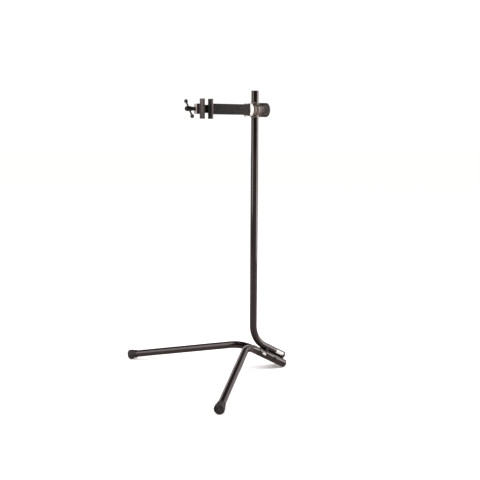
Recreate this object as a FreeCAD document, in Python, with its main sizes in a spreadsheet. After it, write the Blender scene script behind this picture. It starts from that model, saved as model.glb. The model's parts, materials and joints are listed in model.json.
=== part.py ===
import FreeCAD, Part
import math
import os
import re

import Sketcher
from FreeCAD import Placement, Rotation, Vector

# Folding bike repair stand, in millimetres, +Z up.
# The origin is on the floor at the middle of the stand's footprint. The arm points to -X,
# the stand's tail and its third foot are at +X, and the two legs spread to +Y and -Y.
#
# Two local frames carry most pieces. The socket frame has its Z up the sloping tail, and the
# collar frame has its Z forwards along the arm. In both, X is up or nearly so, and Y is the stand's Y.

SIZES = {
    # How far a cutting tool runs past what it cuts
    "past": 1.0,
    # Tubes and the upright
    "tube_dia": 35.0,
    "tube_wall": 2.0,
    "tail_slope": 28.8,
    "tail_length": 134.0,
    "tail_inset": 9.0,
    "upright_bend": 125.0,
    "upright_straight": 1121.7,
    "upright_x": 140.973,
    "cap_lip": 3.0,
    "cap_depth": 15.0,
    "cap_bevel": 1.5,
    "rivet_dia": 9.0,
    "rivet_head": 2.4,
    "rivet_sink": 2.0,
    "rivet_place": 84.0,
    "rivet_angle": -80.0,
    # Sockets that the legs turn in
    "socket_dia": 40.0,
    "socket_bore": 37.0,
    "socket_length": 172.0,
    "socket_drop": 37.5,
    "socket_spread": 24.5,
    "plug_lip": 5.0,
    "plug_depth": 12.0,
    "bush_length": 13.0,
    "bush_rear": 93.0,
    "running_gap": 0.05,
    "saddle_thickness": 12.0,
    "saddle_rear": 16.0,
    "saddle_front": 118.0,
    "saddle_top": 15.0,
    "saddle_side": 38.0,
    "saddle_side_drop": 30.0,
    "saddle_bottom_drop": 42.0,
    # Legs
    "leg_start": 90.0,
    "leg_straight": 180.0,
    "leg_bend": 105.0,
    "leg_reach": 545.0,
    "leg_tip": 6.0,
    "groove_place": 76.0,
    "groove_width": 6.8,
    "groove_radius": 13.0,
    "end_plug_start": 64.0,
    "end_plug_depth": 25.0,
    "lock_screw_dia": 6.0,
    "lock_screw_tip": 13.5,
    "lock_screw_head": 17.0,
    "lock_screw_top": 24.0,
    "lock_screw_sink": 4.0,
    "lock_screw_angle": 86.0,
    "stop_place": 144.0,
    "stop_length": 21.0,
    "stop_width": 9.0,
    "stop_top": 20.6,
    "stop_sink": 3.0,
    "stop_angle": 88.0,
    "stop_play": 1.0,
    "window_margin": 16.5,
    # Foot caps
    "foot_skirt": 30.0,
    "foot_skirt_radius": 20.5,
    "foot_radius": 23.5,
    "foot_flare_start": 12.0,
    "foot_flare_end": 6.0,
    "foot_edge": 9.0,
    "foot_end": 14.0,
    "foot_dish_radius": 12.0,
    "foot_dish": 2.0,
    # Sliding collar
    "collar_height": 1260.4,
    "sleeve_radius": 19.2,
    "sleeve_flange": 20.4,
    "sleeve_lip": 1.5,
    "gap": 0.3,
    "neck_radius": 21.5,
    "neck_half": 33.0,
    "barrel_radius": 32.5,
    "barrel_front": 22.5,
    "barrel_rear": 26.2,
    "barrel_bore": 29.0,
    "rear_bore": 26.0,
    "barrel_step": 21.5,
    "step_radius": 28.8,
    "rear_wall": 3.1,
    "band_width": 3.0,
    "band_depth": 1.2,
    "band_rear": -14.0,
    "band_front": 7.0,
    "yoke_radius": 22.8,
    "yoke_half": 12.0,
    "stud_radius": 6.0,
    "stud_front": 40.5,
    "stud_rear": 55.0,
    "friction_inner": 29.0,
    "friction_outer": 31.5,
    "washer": 1.5,
    "thrust_outer": 14.0,
    # Clamp knob behind the collar
    "knob_radius": 33.2,
    "knob_end": 67.0,
    "knob_bevel": 5.0,
    "knob_face_bevel": 2.0,
    "knob_skirt": 29.3,
    "knob_core": 61.0,
    "insert_radius": 10.0,
    "insert_end": 58.0,
    "knob_cap_radius": 12.0,
    "knob_cap_sink": 2.0,
    "knob_cap_proud": 0.8,
    # Pivot head in front of the collar
    "flange_radius": 31.0,
    "flange_front": 28.5,
    "shoulder_edge": 14.5,
    "pivot_place": 52.0,
    "boss_radius": 19.0,
    "boss_half": 20.5,
    "pocket_half": 12.0,
    "pocket_end": 43.0,
    "nut_radius": 10.9,
    "nut_thickness": 9.0,
    # Arm
    "arm_width": 46.0,
    "arm_depth": 48.0,
    "arm_wall": 3.0,
    "arm_start": 39.2,
    "arm_end": 233.5,
    "arm_corner": 3.5,
    "root_depth": 57.0,
    "root_length": 4.0,
    "fold_opening": 21.0,
    "fold_corner": 22.0,
    "bolt_radius": 5.0,
    "bolt_head": 9.2,
    "bolt_head_height": 6.4,
    "bolt_tip": 2.0,
    "button_start": 94.5,
    "button_length": 31.0,
    "button_half": 7.0,
    "button_top": 28.0,
    "button_flange": 3.0,
    "button_flange_thickness": 3.0,
    "spring_radius": 5.5,
    "spring_wall": 1.2,
    "end_block": 203.5,
    # Clamp jaws
    "jaw_side": -17.0,
    "jaw_axis": 257.5,
    "jaw_opening": 15.0,
    "clamp_radius": 16.0,
    "pad_thickness": 3.0,
    "jaw_wall": 5.0,
    "jaw_half_angle": 62.0,
    "jaw_half": 45.0,
    "seat_half": 24.0,
    "seat_width": 18.0,
    "seat_depth": 8.0,
    "jaw_screw_side": -13.0,
    "jaw_screw_half": 14.0,
    "jaw_screw_radius": 2.5,
    "jaw_screw_head": 4.5,
    "jaw_screw_seat": 1.0,
    "jaw_screw_top": 2.9,
    "jaw_screw_length": 22.0,
    "web_half": 20.0,
    "web_start": 10.0,
    "web_depth": 24.5,
    "block_start": 277.0,
    "block_end": 306.5,
    "block_half": 23.0,
    "block_inner": -3.0,
    "block_outer": 26.0,
    "dowel_place": 293.0,
    "dowel_start": -10.0,
    "dowel_end": 5.0,
    # Clamp screw and the bar that the moving jaw slides on
    "screw_side": 14.5,
    "screw_radius": 4.5,
    "screw_start": 196.0,
    "screw_flange": 9.0,
    "screw_flange_width": 16.0,
    "clip_groove": 3.5,
    "clip_radius": 5.7,
    "slide_half": 18.5,
    "slide_near": 5.5,
    "slide_far": 8.5,
    "slide_start": 180.0,
    "slide_end": 300.0,
    "slide_gap": 0.1,
    "head_start": 325.0,
    "head_end": 358.0,
    "head_radius": 11.5,
    "head_taper": 4.0,
    "dome_start": 10.0,
    "dome_middle": 4.0,
    "dome_shoulder": 2.5,
    "dome_flat": 4.5,
    "bar_place": 337.0,
    "bar_radius": 4.0,
    "bar_half": 51.5,
    "bar_angle": 47.3,
    "ball_place": 46.6,
    "ball_radius": 9.0,
}

# Which way a primitive's own Z axis points
ALONG = {
    "z": Rotation(),
    "x": Rotation(Vector(0, 1, 0), 90),
    "y": Rotation(Vector(1, 0, 0), -90),
}

SIDES = {"left": 1, "right": -1}

doc = FreeCAD.newDocument("RepairStand")
sheet = doc.addObject("Spreadsheet::Sheet", "Sizes")
nodes = []


def fill_sheet():
    """Write each driving dimension to a cell of its own, with its name beside it."""
    for row, (alias, value) in enumerate(SIZES.items(), start=1):
        sheet.set(f"A{row}", alias)
        sheet.set(f"B{row}", str(value))
        sheet.setAlias(f"B{row}", alias)
    doc.recompute()


def add_size(alias, value):
    """Add a dimension that follows from the others."""
    row = len(SIZES) + 1
    SIZES[alias] = value
    sheet.set(f"A{row}", alias)
    sheet.set(f"B{row}", str(value))
    sheet.setAlias(f"B{row}", alias)
    doc.recompute()


def cells(expression):
    """The expression with the sheet's name before each of its dimensions."""

    def full(word):
        return "Sizes." + word[0] if word[0] in SIZES else word[0]

    return re.sub(r"[a-z_]+", full, expression)


def number(expression):
    """The expression's value now."""
    value = sheet.evalExpression(cells(expression))
    return float(getattr(value, "Value", value))


def bind(piece, **properties):
    """Tie the piece's properties to expressions of the sheet's dimensions."""
    for name, expression in properties.items():
        piece.setExpression(name, cells(expression))


def base_at(piece, x, y, z, turn=Rotation()):
    """Put the piece's base at a point given as three expressions, with its Z axis turned."""
    piece.Placement = Placement(Vector(), turn)
    for axis, expression in zip("xyz", (x, y, z)):
        piece.setExpression(f"Placement.Base.{axis}", cells(expression))


# Primitives and booleans


def rod(radius, low, high, along="z", at=("0", "0"), spin=0.0, sweep=None):
    """A cylinder from low to high along an axis; at is its place across the other two axes.

    A sweep in degrees makes it a sector, which spin turns about its own axis.
    """
    piece = doc.addObject("Part::Cylinder", "Rod")
    bind(piece, Radius=radius, Height=f"({high}) - ({low})")
    if sweep:
        bind(piece, Angle=sweep)
    first, second = at
    corner = {
        "z": (first, second, low),
        "x": (low, first, second),
        "y": (first, low, second),
    }[along]
    base_at(piece, *corner, ALONG[along] * Rotation(Vector(0, 0, 1), spin))
    return piece


def block(x, y, z):
    """A box between the low and high expressions of each axis."""
    piece = doc.addObject("Part::Box", "Block")
    spans = [f"({high}) - ({low})" for low, high in (x, y, z)]
    bind(piece, Length=spans[0], Width=spans[1], Height=spans[2])
    base_at(piece, x[0], y[0], z[0])
    return piece


def hexagon(radius, low, high, along="z", at=("0", "0")):
    """A six-sided prism, such as a nut or a bolt's head."""
    piece = doc.addObject("Part::Prism", "Hexagon")
    piece.Polygon = 6
    bind(piece, Circumradius=radius, Height=f"({high}) - ({low})")
    first, second = at
    corner = (low, first, second) if along == "x" else (first, second, low)
    base_at(piece, *corner, ALONG[along])
    return piece


def fuse(*pieces):
    """One solid from several."""
    joined = doc.addObject("Part::MultiFuse", "Joined")
    joined.Shapes = list(pieces)
    joined.Refine = True
    return joined


def group(*pieces):
    """Several solids in one node."""
    together = doc.addObject("Part::Compound", "Group")
    together.Links = list(pieces)
    return together


def cut(base, *tools):
    """The base with each tool taken out of it."""
    piece = doc.addObject("Part::Cut", "Cut")
    piece.Base = base
    piece.Tool = tools[0] if len(tools) == 1 else fuse(*tools)
    return piece


def ring(outer, inner, low, high, **where):
    """A plain tube or washer."""
    return cut(rod(outer, low, high, **where), rod(inner, low, high, **where))


def rounded_along(piece, radius, direction):
    """Round the piece's straight edges that run in one direction."""
    doc.recompute()
    smooth = doc.addObject("Part::Fillet", "Rounded")
    smooth.Base = piece
    chosen = []
    for index, edge in enumerate(piece.Shape.Edges, start=1):
        straight = isinstance(edge.Curve, Part.Line)
        if straight and abs(edge.Curve.Direction.dot(direction)) > 0.999:
            chosen.append((index, radius, radius))
    smooth.Edges = chosen
    return smooth


# Sketched bodies


def origin_plane(body, role):
    """One of the body's own three planes."""
    return next(part for part in body.Origin.OriginFeatures if part.Role == role)


def new_sketch(body, name, role):
    """An empty sketch on one of the body's own planes."""
    sketch = body.newObject("Sketcher::SketchObject", name)
    sketch.AttachmentSupport = (origin_plane(body, role), "")
    sketch.MapMode = "FlatFace"
    return sketch


def draw_outline(sketch, outline):
    """Draw a closed outline whose corners are held at pairs of expressions."""
    corners = [Vector(number(across), number(up), 0) for across, up in outline]
    for start, end in zip(corners, corners[1:] + corners[:1]):
        sketch.addGeometry(Part.LineSegment(start, end), False)
    for index, (across, up) in enumerate(outline):
        previous = (index - 1) % len(outline)
        sketch.addConstraint(Sketcher.Constraint("Coincident", previous, 2, index, 1))
        for kind, expression in (("DistanceX", across), ("DistanceY", up)):
            held = Sketcher.Constraint(kind, -1, 1, index, 1, number(expression))
            place = sketch.addConstraint(held)
            sketch.setExpression(f"Constraints[{place}]", cells(expression))


def turned(outline):
    """A body turned about Z from a half outline of (radius, height) expressions."""
    body = doc.addObject("PartDesign::Body", "Turned")
    sketch = new_sketch(body, "HalfOutline", "XZ_Plane")
    draw_outline(sketch, outline)
    turn = body.newObject("PartDesign::Revolution", "Turn")
    turn.Profile = sketch
    turn.ReferenceAxis = (sketch, ["V_Axis"])
    turn.Angle = 360
    body.Tip = turn
    return body


def plate(outline, thickness):
    """A body padded up Z from a closed outline of (x, y) expressions."""
    body = doc.addObject("PartDesign::Body", "Plate")
    sketch = new_sketch(body, "Outline", "XY_Plane")
    draw_outline(sketch, outline)
    pad = body.newObject("PartDesign::Pad", "Pad")
    pad.Profile = sketch
    bind(pad, Length=thickness)
    body.Tip = pad
    return body


def bent_tube(first, radius, second):
    """A round tube that runs up Z, bends towards X by the stand's bend angle and runs straight on."""
    body = doc.addObject("PartDesign::Body", "BentTube")
    section = new_sketch(body, "Section", "XY_Plane")
    for diameter in ("tube_dia", "tube_dia - 2 * tube_wall"):
        circle = section.addGeometry(Part.Circle(Vector(), Vector(0, 0, 1), number(diameter) / 2), False)
        section.addConstraint(Sketcher.Constraint("Coincident", circle, 3, -1, 1))
        size = section.addConstraint(Sketcher.Constraint("Diameter", circle, number(diameter)))
        section.setExpression(f"Constraints[{size}]", cells(diameter))
    path = new_sketch(body, "CentreLine", "XZ_Plane")
    length, bend, turn = number(first), number(radius), math.radians(90 - number("tail_slope"))
    bend_end = Vector(bend * (1 - math.cos(turn)), length + bend * math.sin(turn), 0)
    run_on = Vector(math.sin(turn), math.cos(turn), 0) * number(second)
    corner = Vector(0, length, 0)
    path.addGeometry(Part.LineSegment(Vector(), corner), False)
    circle = Part.Circle(Vector(bend, length, 0), Vector(0, 0, 1), bend)
    arc = Part.ArcOfCircle(circle, math.pi - turn, math.pi)
    path.addGeometry(arc, False)
    path.addGeometry(Part.LineSegment(bend_end, bend_end + run_on), False)
    for held in (
        Sketcher.Constraint("Coincident", 0, 1, -1, 1),
        Sketcher.Constraint("Vertical", 0),
        Sketcher.Constraint("Tangent", 0, 2, 1, 2),
        Sketcher.Constraint("Tangent", 1, 1, 2, 1),
    ):
        path.addConstraint(held)
    for kind, line, expression in (
        ("Distance", 0, first),
        ("Radius", 1, radius),
        ("Distance", 2, second),
    ):
        size = path.addConstraint(Sketcher.Constraint(kind, line, number(expression)))
        path.setExpression(f"Constraints[{size}]", cells(expression))
    angle = path.addConstraint(Sketcher.Constraint("Angle", -1, 1, 2, 1, math.pi / 2 - turn))
    path.setExpression(f"Constraints[{angle}]", cells("tail_slope * 1 deg"))
    pipe = body.newObject("PartDesign::AdditivePipe", "Pipe")
    pipe.Profile = section
    pipe.Spine = path
    body.Tip = pipe
    return body


def node(label, piece, place=None):
    """Keep the piece as a sub-part under its own name, where it belongs."""
    piece.Label = label
    if place:
        piece.Placement = place
    nodes.append(piece)


# Places


def slope_turn():
    """The turn that lays the socket frame along the tail."""
    return Rotation(Vector(0, 1, 0), number("tail_slope") - 90)


def tail_rise():
    """Unit vectors along the tail's slope, up and forwards, and square to it, up and back."""
    slope = math.radians(number("tail_slope"))
    up_slope = Vector(-math.cos(slope), 0, math.sin(slope))
    off_slope = Vector(math.sin(slope), 0, math.cos(slope))
    return up_slope, off_slope


def socket_end(side):
    """The middle of a socket's rear end, whose lowest point is on the floor."""
    slope = math.radians(number("tail_slope"))
    x = (
        number("upright_x")
        + number("upright_bend") * (1 - math.sin(slope))
        + number("tail_length") * math.cos(slope)
        - number("socket_drop") * math.sin(slope)
    )
    return Vector(x, side * number("socket_spread"), number("socket_dia") / 2 * math.cos(slope))


def socket_place(side, angle=0.0):
    """The socket frame of one side, turned about the socket's axis."""
    return Placement(socket_end(side), slope_turn() * Rotation(Vector(0, 0, 1), angle))


def tail_place():
    """The socket frame moved to the upright's tail end."""
    off_slope = tail_rise()[1]
    return Placement(socket_end(0) + off_slope * number("socket_drop"), slope_turn())


def upright_place(height):
    """World directions, with the origin on the upright's axis."""
    return Placement(Vector(number("upright_x"), 0, height), Rotation())


def collar_place():
    """The collar frame: Z forwards along the arm, X up."""
    centre = Vector(number("upright_x"), 0, number("collar_height"))
    return Placement(centre, Rotation(Vector(0, 1, 0), -90))


def upright_top():
    """The height of the upright tube's cut end."""
    slope = math.radians(number("tail_slope"))
    rise = (number("upright_bend")) * math.cos(slope) + number("tail_length") * math.sin(slope)
    return tail_place().Base.z + rise + number("upright_straight")


def foot_corners():
    """The foot cap's corners that can touch the floor, as (radius, distance past its middle)."""
    return (
        (number("foot_radius"), -number("foot_flare_end")),
        (number("foot_radius"), number("foot_edge")),
        (number("foot_skirt_radius"), number("foot_end")),
    )


def leg_opening():
    """The angle between a folded leg and one whose foot cap rests on the floor."""
    up_slope, off_slope = tail_rise()
    turn = math.radians(90 - number("tail_slope"))
    reach, bend = number("leg_reach"), number("leg_bend")
    along = number("leg_straight") + bend * math.sin(turn) + reach * math.cos(turn)
    out = bend * (1 - math.cos(turn)) + reach * math.sin(turn)
    start = socket_end(0).z + along * up_slope.z

    def lowest(angle):
        drop = math.cos(math.radians(angle)) * off_slope.z
        fall = math.cos(turn) * up_slope.z + math.sin(turn) * drop
        flat = math.sqrt(1 - fall * fall)
        return start + out * drop + min(past * fall - radius * flat for radius, past in foot_corners())

    low, high = 60.0, 175.0
    while high - low > 1e-9:
        middle = (low + high) / 2
        if lowest(middle) > 0:
            low = middle
        else:
            high = middle
    return low


# Frame


def build_upright():
    """The upright and its sloping tail, with a cap at each end and a rivet before the tail's end."""
    inset = tail_place() * Placement(Vector(0, 0, number("tail_inset")), Rotation())
    node("upright_tube", bent_tube("tail_length - tail_inset", "upright_bend", "upright_straight"), inset)
    inner = "tube_dia / 2 - tube_wall"
    outline = [
        ("0", "-cap_depth"),
        (inner, "-cap_depth"),
        (inner, "0"),
        ("tube_dia / 2", "0"),
        ("tube_dia / 2", "cap_lip - cap_bevel"),
        ("tube_dia / 2 - cap_bevel", "cap_lip"),
        ("0", "cap_lip"),
    ]
    node("upright_top_cap", turned(outline), upright_place(upright_top()))
    tail = tail_place()
    over = Rotation(Vector(1, 0, 0), 180)
    node("upright_tail_cap", turned(outline), Placement(inset.Base, tail.Rotation * over))
    low, high = "tube_dia / 2 - rivet_sink", "tube_dia / 2 + rivet_head"
    head = rod("rivet_dia / 2", low, high, "x", ("0", "rivet_place"))
    rivet = cut(head, rod("tube_dia / 2", "rivet_place - rivet_dia", "rivet_place + rivet_dia"))
    spin = Rotation(Vector(0, 0, 1), number("rivet_angle"))
    node("tail_rivet", rivet, Placement(tail.Base, tail.Rotation * spin))


def build_saddles():
    """Two webs that join the upright's tail to the sockets under it."""
    side, drop = "saddle_side", "-saddle_side_drop"
    outline = [
        ("0", "saddle_top"),
        (drop, side),
        ("-saddle_bottom_drop", "socket_spread"),
        ("-saddle_bottom_drop", "-socket_spread"),
        (drop, f"-{side}"),
        ("0", "-saddle_top"),
    ]
    for name in ("rear", "front"):
        web = plate(outline, "saddle_thickness")
        base_at(web, "0", "0", f"saddle_{name}")
        span = (f"saddle_{name} - past", f"saddle_{name} + saddle_thickness + past")
        tubes = [rod("tube_dia / 2", *span)]
        for where in ("socket_spread", "-socket_spread"):
            tubes.append(rod("socket_dia / 2", *span, at=("-socket_drop", where)))
        node(f"saddle_{name}", cut(web, *tubes), tail_place())


def lock_screw(side):
    """The screw that holds a leg in its socket and lets it turn, in the socket frame."""
    angle = side * number("lock_screw_angle")
    place = ("0", "groove_place")
    head = rod("lock_screw_head / 2", "socket_dia / 2 - lock_screw_sink", "lock_screw_top", "x", place)
    socket_skin = rod("socket_dia / 2", "groove_place - lock_screw_head", "groove_place + lock_screw_head")
    head = cut(head, socket_skin)
    shank = rod("lock_screw_dia / 2", "lock_screw_tip", "lock_screw_top - past", "x", place)
    screw = fuse(head, shank)
    screw.Placement = socket_place(side, angle)
    return screw


def build_socket(name, side):
    """One socket tube with its window and screw hole, its rear plug and its two bushes."""
    start = -number("stop_angle") if side < 0 else number("stop_angle") - number("leg_swing")
    window = rod(
        "socket_dia",
        "stop_place - stop_length / 2 - stop_play",
        "stop_place + stop_length / 2 + stop_play",
        spin=start - number("window_margin"),
        sweep="leg_swing + 2 * window_margin",
    )
    hole = rod("lock_screw_dia / 2", "0", "socket_dia", "x", ("0", "groove_place"))
    spun = group(hole)
    spun.Placement = Placement(Vector(), Rotation(Vector(0, 0, 1), side * number("lock_screw_angle")))
    tube = ring("socket_dia / 2", "socket_bore / 2", "plug_lip", "socket_length")
    node(f"socket_{name}", cut(tube, window, spun), socket_place(side))
    plug = turned([
        ("0", "0"),
        ("socket_dia / 2", "0"),
        ("socket_dia / 2", "plug_lip"),
        ("socket_bore / 2", "plug_lip"),
        ("socket_bore / 2", "plug_lip + plug_depth"),
        ("0", "plug_lip + plug_depth"),
    ])
    node(f"socket_plug_{name}", plug, socket_place(side))
    bore = "tube_dia / 2 + running_gap"
    rear = ring("socket_bore / 2", bore, "bush_rear", "bush_rear + bush_length")
    front = ring("socket_bore / 2", bore, "socket_length - bush_length", "socket_length")
    node(f"socket_bushes_{name}", group(rear, front), socket_place(side))


# Legs


def build_leg(name, side):
    """One leg: bent tube, grooved end plug in its socket, stop block and rubber foot cap."""
    swing = side * number("leg_swing")
    leg = socket_place(side, swing)
    tube = bent_tube("leg_straight - leg_start", "leg_bend", "leg_reach + leg_tip")
    node(f"leg_tube_{name}", tube, leg * Placement(Vector(0, 0, number("leg_start")), Rotation()))
    outer, inner = "tube_dia / 2", "tube_dia / 2 - tube_wall"
    low, high = "groove_place - groove_width / 2", "groove_place + groove_width / 2"
    plug = turned([
        ("0", "end_plug_start"),
        (outer, "end_plug_start"),
        (outer, low),
        ("groove_radius", low),
        ("groove_radius", high),
        (outer, high),
        (outer, "leg_start"),
        (inner, "leg_start"),
        (inner, "leg_start + end_plug_depth"),
        ("0", "leg_start + end_plug_depth"),
    ])
    node(f"leg_end_plug_{name}", plug, leg)
    half = "stop_length / 2"
    stop = block(
        (f"{outer} - stop_sink", "stop_top"),
        ("-stop_width / 2", "stop_width / 2"),
        (f"stop_place - {half}", f"stop_place + {half}"),
    )
    stop = cut(stop, rod(outer, f"stop_place - {half} - past", f"stop_place + {half} + past"))
    node(f"stop_block_{name}", stop, socket_place(side, side * number("stop_angle")))
    turn = 90 - number("tail_slope")
    bend = number("leg_bend")
    bend_end = Vector(
        bend * (1 - math.cos(math.radians(turn))),
        0,
        number("leg_straight") + bend * math.sin(math.radians(turn)),
    )
    long_run = Placement(bend_end, Rotation(Vector(0, 1, 0), turn))
    foot = leg * long_run * Placement(Vector(0, 0, number("leg_reach")), Rotation())
    cap = turned([
        (outer, "-foot_skirt"),
        ("foot_skirt_radius", "-foot_skirt"),
        ("foot_skirt_radius", "-foot_flare_start"),
        ("foot_radius", "-foot_flare_end"),
        ("foot_radius", "foot_edge"),
        ("foot_skirt_radius", "foot_end"),
        ("foot_dish_radius", "foot_end"),
        ("foot_dish_radius - foot_dish", "foot_end - foot_dish"),
        ("0", "foot_end - foot_dish"),
        ("0", "leg_tip"),
        (outer, "leg_tip"),
    ])
    node(f"foot_cap_{name}", cap, foot)


# Collar


def build_collar():
    """The sliding sleeve, the cast collar round it, the yoke inside and its washers and nut."""
    place = collar_place()
    low, high = "-neck_half - gap", "neck_half + gap"
    bore = "tube_dia / 2 + running_gap"
    sleeve = turned([
        (bore, f"{low} - sleeve_lip"),
        ("sleeve_flange", f"{low} - sleeve_lip"),
        ("sleeve_flange", low),
        ("sleeve_radius", low),
        ("sleeve_radius", high),
        ("sleeve_flange", high),
        ("sleeve_flange", f"{high} + sleeve_lip"),
        (bore, f"{high} + sleeve_lip"),
    ])
    node("collar_sleeve", sleeve, upright_place(number("collar_height")))
    casting = fuse(
        rod("neck_radius", "-neck_half", "neck_half", "x"),
        rod("barrel_radius", "-barrel_step", "barrel_front"),
        rod("step_radius", "-barrel_rear", "-barrel_step"),
    )
    bands = [
        ring("barrel_radius + past", "barrel_radius - band_depth", start, f"{start} + band_width")
        for start in ("band_rear", "band_front")
    ]
    casting = cut(
        casting,
        rod("sleeve_radius + running_gap", "-neck_half - past", "neck_half + past", "x"),
        rod("barrel_bore", "-barrel_step + past", "barrel_front + past"),
        rod("rear_bore", "-barrel_rear + rear_wall", "0"),
        rod("stud_radius + gap", "-barrel_rear - past", "0"),
        *bands,
    )
    node("collar_body", casting, place)
    yoke = fuse(
        rod("yoke_radius", "-yoke_half", "yoke_half", "x"),
        rod("stud_radius", "-stud_rear", "stud_front"),
    )
    yoke = cut(yoke, rod("sleeve_radius + gap", "-yoke_half - past", "yoke_half + past", "x"))
    node("draw_yoke", yoke, place)
    friction = ring("friction_outer", "friction_inner", "barrel_front", "barrel_front + washer")
    node("friction_washer", friction, place)
    thrust = ring("thrust_outer", "stud_radius", "-barrel_rear - washer", "-barrel_rear")
    node("thrust_washer", thrust, place)
    nut_low, nut_high = "flange_front + gap", "flange_front + gap + nut_thickness"
    nut = cut(hexagon("nut_radius", nut_low, nut_high), rod("stud_radius", nut_low, nut_high))
    node("head_nut", nut, place)


def build_knob():
    """The clamp knob behind the collar, its threaded insert and its end cap."""
    place = collar_place()
    face = "-barrel_rear - washer - gap"
    skirt = "-barrel_step - gap"
    knob = turned([
        ("insert_radius", face),
        ("knob_skirt", face),
        ("knob_skirt", skirt),
        ("knob_radius - knob_face_bevel / 2", skirt),
        ("knob_radius", f"{skirt} - knob_face_bevel / 2"),
        ("knob_radius", "-knob_end + knob_bevel"),
        ("knob_radius - knob_bevel", "-knob_end"),
        ("knob_cap_radius", "-knob_end"),
        ("knob_cap_radius", "-knob_end + knob_cap_sink"),
        ("0", "-knob_end + knob_cap_sink"),
        ("0", "-knob_core"),
        ("insert_radius", "-knob_core"),
    ])
    node("clamp_knob", knob, place)
    insert = ring("insert_radius", "stud_radius + running_gap", "-insert_end", f"{face} - gap")
    node("knob_insert", insert, place)
    cap = rod("knob_cap_radius", "-knob_end - knob_cap_proud", "-knob_end + knob_cap_sink")
    node("knob_cap", group(cap), place)


def build_pivot_head():
    """The turning flange in front of the collar, with the arm's hinge boss and the shoulder it rests on."""
    start = "barrel_front + washer + gap"
    head = fuse(
        rod("flange_radius", start, "flange_front"),
        block(
            ("-boss_half", "boss_half"),
            ("-boss_radius", "boss_radius"),
            ("flange_front - past", "pivot_place"),
        ),
        rod("boss_radius", "-boss_half", "boss_half", "x", ("0", "pivot_place")),
    )
    head = cut(
        head,
        rod("stud_radius + running_gap", "barrel_front", "flange_front + past"),
        block(
            ("-pocket_half", "pocket_half"),
            ("-boss_radius - past", "boss_radius + past"),
            ("flange_front", "pocket_end"),
        ),
        rod("bolt_radius + running_gap", "-boss_half - past", "boss_half + past", "x", ("0", "pivot_place")),
    )
    shoulder_end = "arm_start - gap"
    shoulder = cut(
        rod("flange_radius", "flange_front - past", shoulder_end),
        block(
            ("-flange_radius - past", "flange_radius + past"),
            ("-shoulder_edge", "flange_radius + past"),
            ("flange_front - 2 * past", "arm_start"),
        ),
    )
    node("pivot_head", fuse(head, shoulder), collar_place())


# Arm


def arm_root():
    """The arm's flared root, which is taller towards the pivot head."""
    root = doc.addObject("Part::Wedge", "Root")
    bind(
        root,
        Xmin="-root_depth / 2",
        Xmax="root_depth / 2",
        X2min="-arm_depth / 2",
        X2max="arm_depth / 2",
        Zmin="-arm_width / 2",
        Zmax="arm_width / 2",
        Z2min="-arm_width / 2",
        Z2max="arm_width / 2",
        Ymin="0",
        Ymax="root_length",
    )
    base_at(root, "0", "0", "arm_start", Rotation(Vector(1, 0, 0), 90))
    return root


def slide(span, gap="0"):
    """The flat bar that the moving jaw slides on, along a span, larger all round by a gap."""
    up = f"slide_half + {gap}"
    return block((f"-({up})", up), (f"slide_near - {gap}", f"slide_far + {gap}"), span)


def build_arm():
    """The square arm, its hinge bolt and nut, its lock button and spring, and the block in its end."""
    place = collar_place()
    across, up = "arm_width / 2", "arm_depth / 2"
    inside, under = "arm_width / 2 - arm_wall", "arm_depth / 2 - arm_wall"
    span = ("arm_start", "arm_end")
    bar = block((f"-{up}", up), (f"-{across}", across), span)
    bar = rounded_along(bar, number("arm_corner"), Vector(0, 0, 1))
    root = arm_root()
    reach = "root_depth / 2 + past"
    corner = cut(
        block((f"-({reach})", reach), ("0", f"{across} + past"), ("arm_start - past", "pivot_place")),
        rod("fold_corner", f"-({reach})", reach, "x", ("0", "pivot_place")),
    )
    button_low, button_high = "button_start", "button_start + button_length"
    tube = cut(
        fuse(bar, root),
        block(
            (f"-({under})", under),
            (f"-({inside})", inside),
            ("arm_start - past", "arm_end + past"),
        ),
        block(
            (f"-({under})", under),
            (f"{inside} - past", f"{across} + past"),
            ("arm_start - past", "pivot_place + fold_opening"),
        ),
        corner,
        rod("bolt_radius", f"-{up} - past", f"{up} + past", "x", ("0", "pivot_place")),
        block(
            ("-button_half - gap", "button_half + gap"),
            (f"{inside} - past", f"{across} + past"),
            (f"{button_low} - gap", f"{button_high} + gap"),
        ),
    )
    node("arm_tube", tube, place)
    pivot = ("0", "pivot_place")
    bolt = fuse(
        hexagon("bolt_head", up, f"{up} + bolt_head_height", "x", pivot),
        rod("bolt_radius", f"-{up} - bolt_head_height - bolt_tip", up, "x", pivot),
    )
    node("hinge_bolt", bolt, place)
    nut = cut(
        hexagon("bolt_head", f"-{up} - bolt_head_height", f"-{up}", "x", pivot),
        rod("bolt_radius", f"-{up} - bolt_head_height", f"-{up}", "x", pivot),
    )
    node("hinge_nut", nut, place)
    flange_top = f"{inside} - gap"
    flange_low = f"{flange_top} - button_flange_thickness"
    button = fuse(
        block(("-button_half", "button_half"), (flange_low, "button_top"), (button_low, button_high)),
        block(
            ("-button_half - button_flange", "button_half + button_flange"),
            (flange_low, flange_top),
            (f"{button_low} - button_flange", f"{button_high} + button_flange"),
        ),
    )
    node("lock_button", button, place)
    middle = ("0", "button_start + button_length / 2")
    spring_span = (f"-({inside}) + gap", f"{flange_low} - gap")
    spring = ring("spring_radius", "spring_radius - spring_wall", *spring_span, along="y", at=middle)
    node("lock_spring", spring, place)
    seat = block((f"-({under})", under), (f"-({inside})", inside), ("end_block", "arm_end"))
    bores = [rod("screw_radius + running_gap", "end_block - past", "arm_end + past", at=("0", "screw_side"))]
    bores.append(slide(("end_block - past", "arm_end + past"), "slide_gap"))
    for where in ("jaw_screw_half", "-jaw_screw_half"):
        start = "arm_end - jaw_screw_length"
        bores.append(rod("jaw_screw_radius", start, "arm_end + past", at=(where, "jaw_screw_side")))
    node("arm_end_block", cut(seat, *bores), place)


# Clamp jaws


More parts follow.
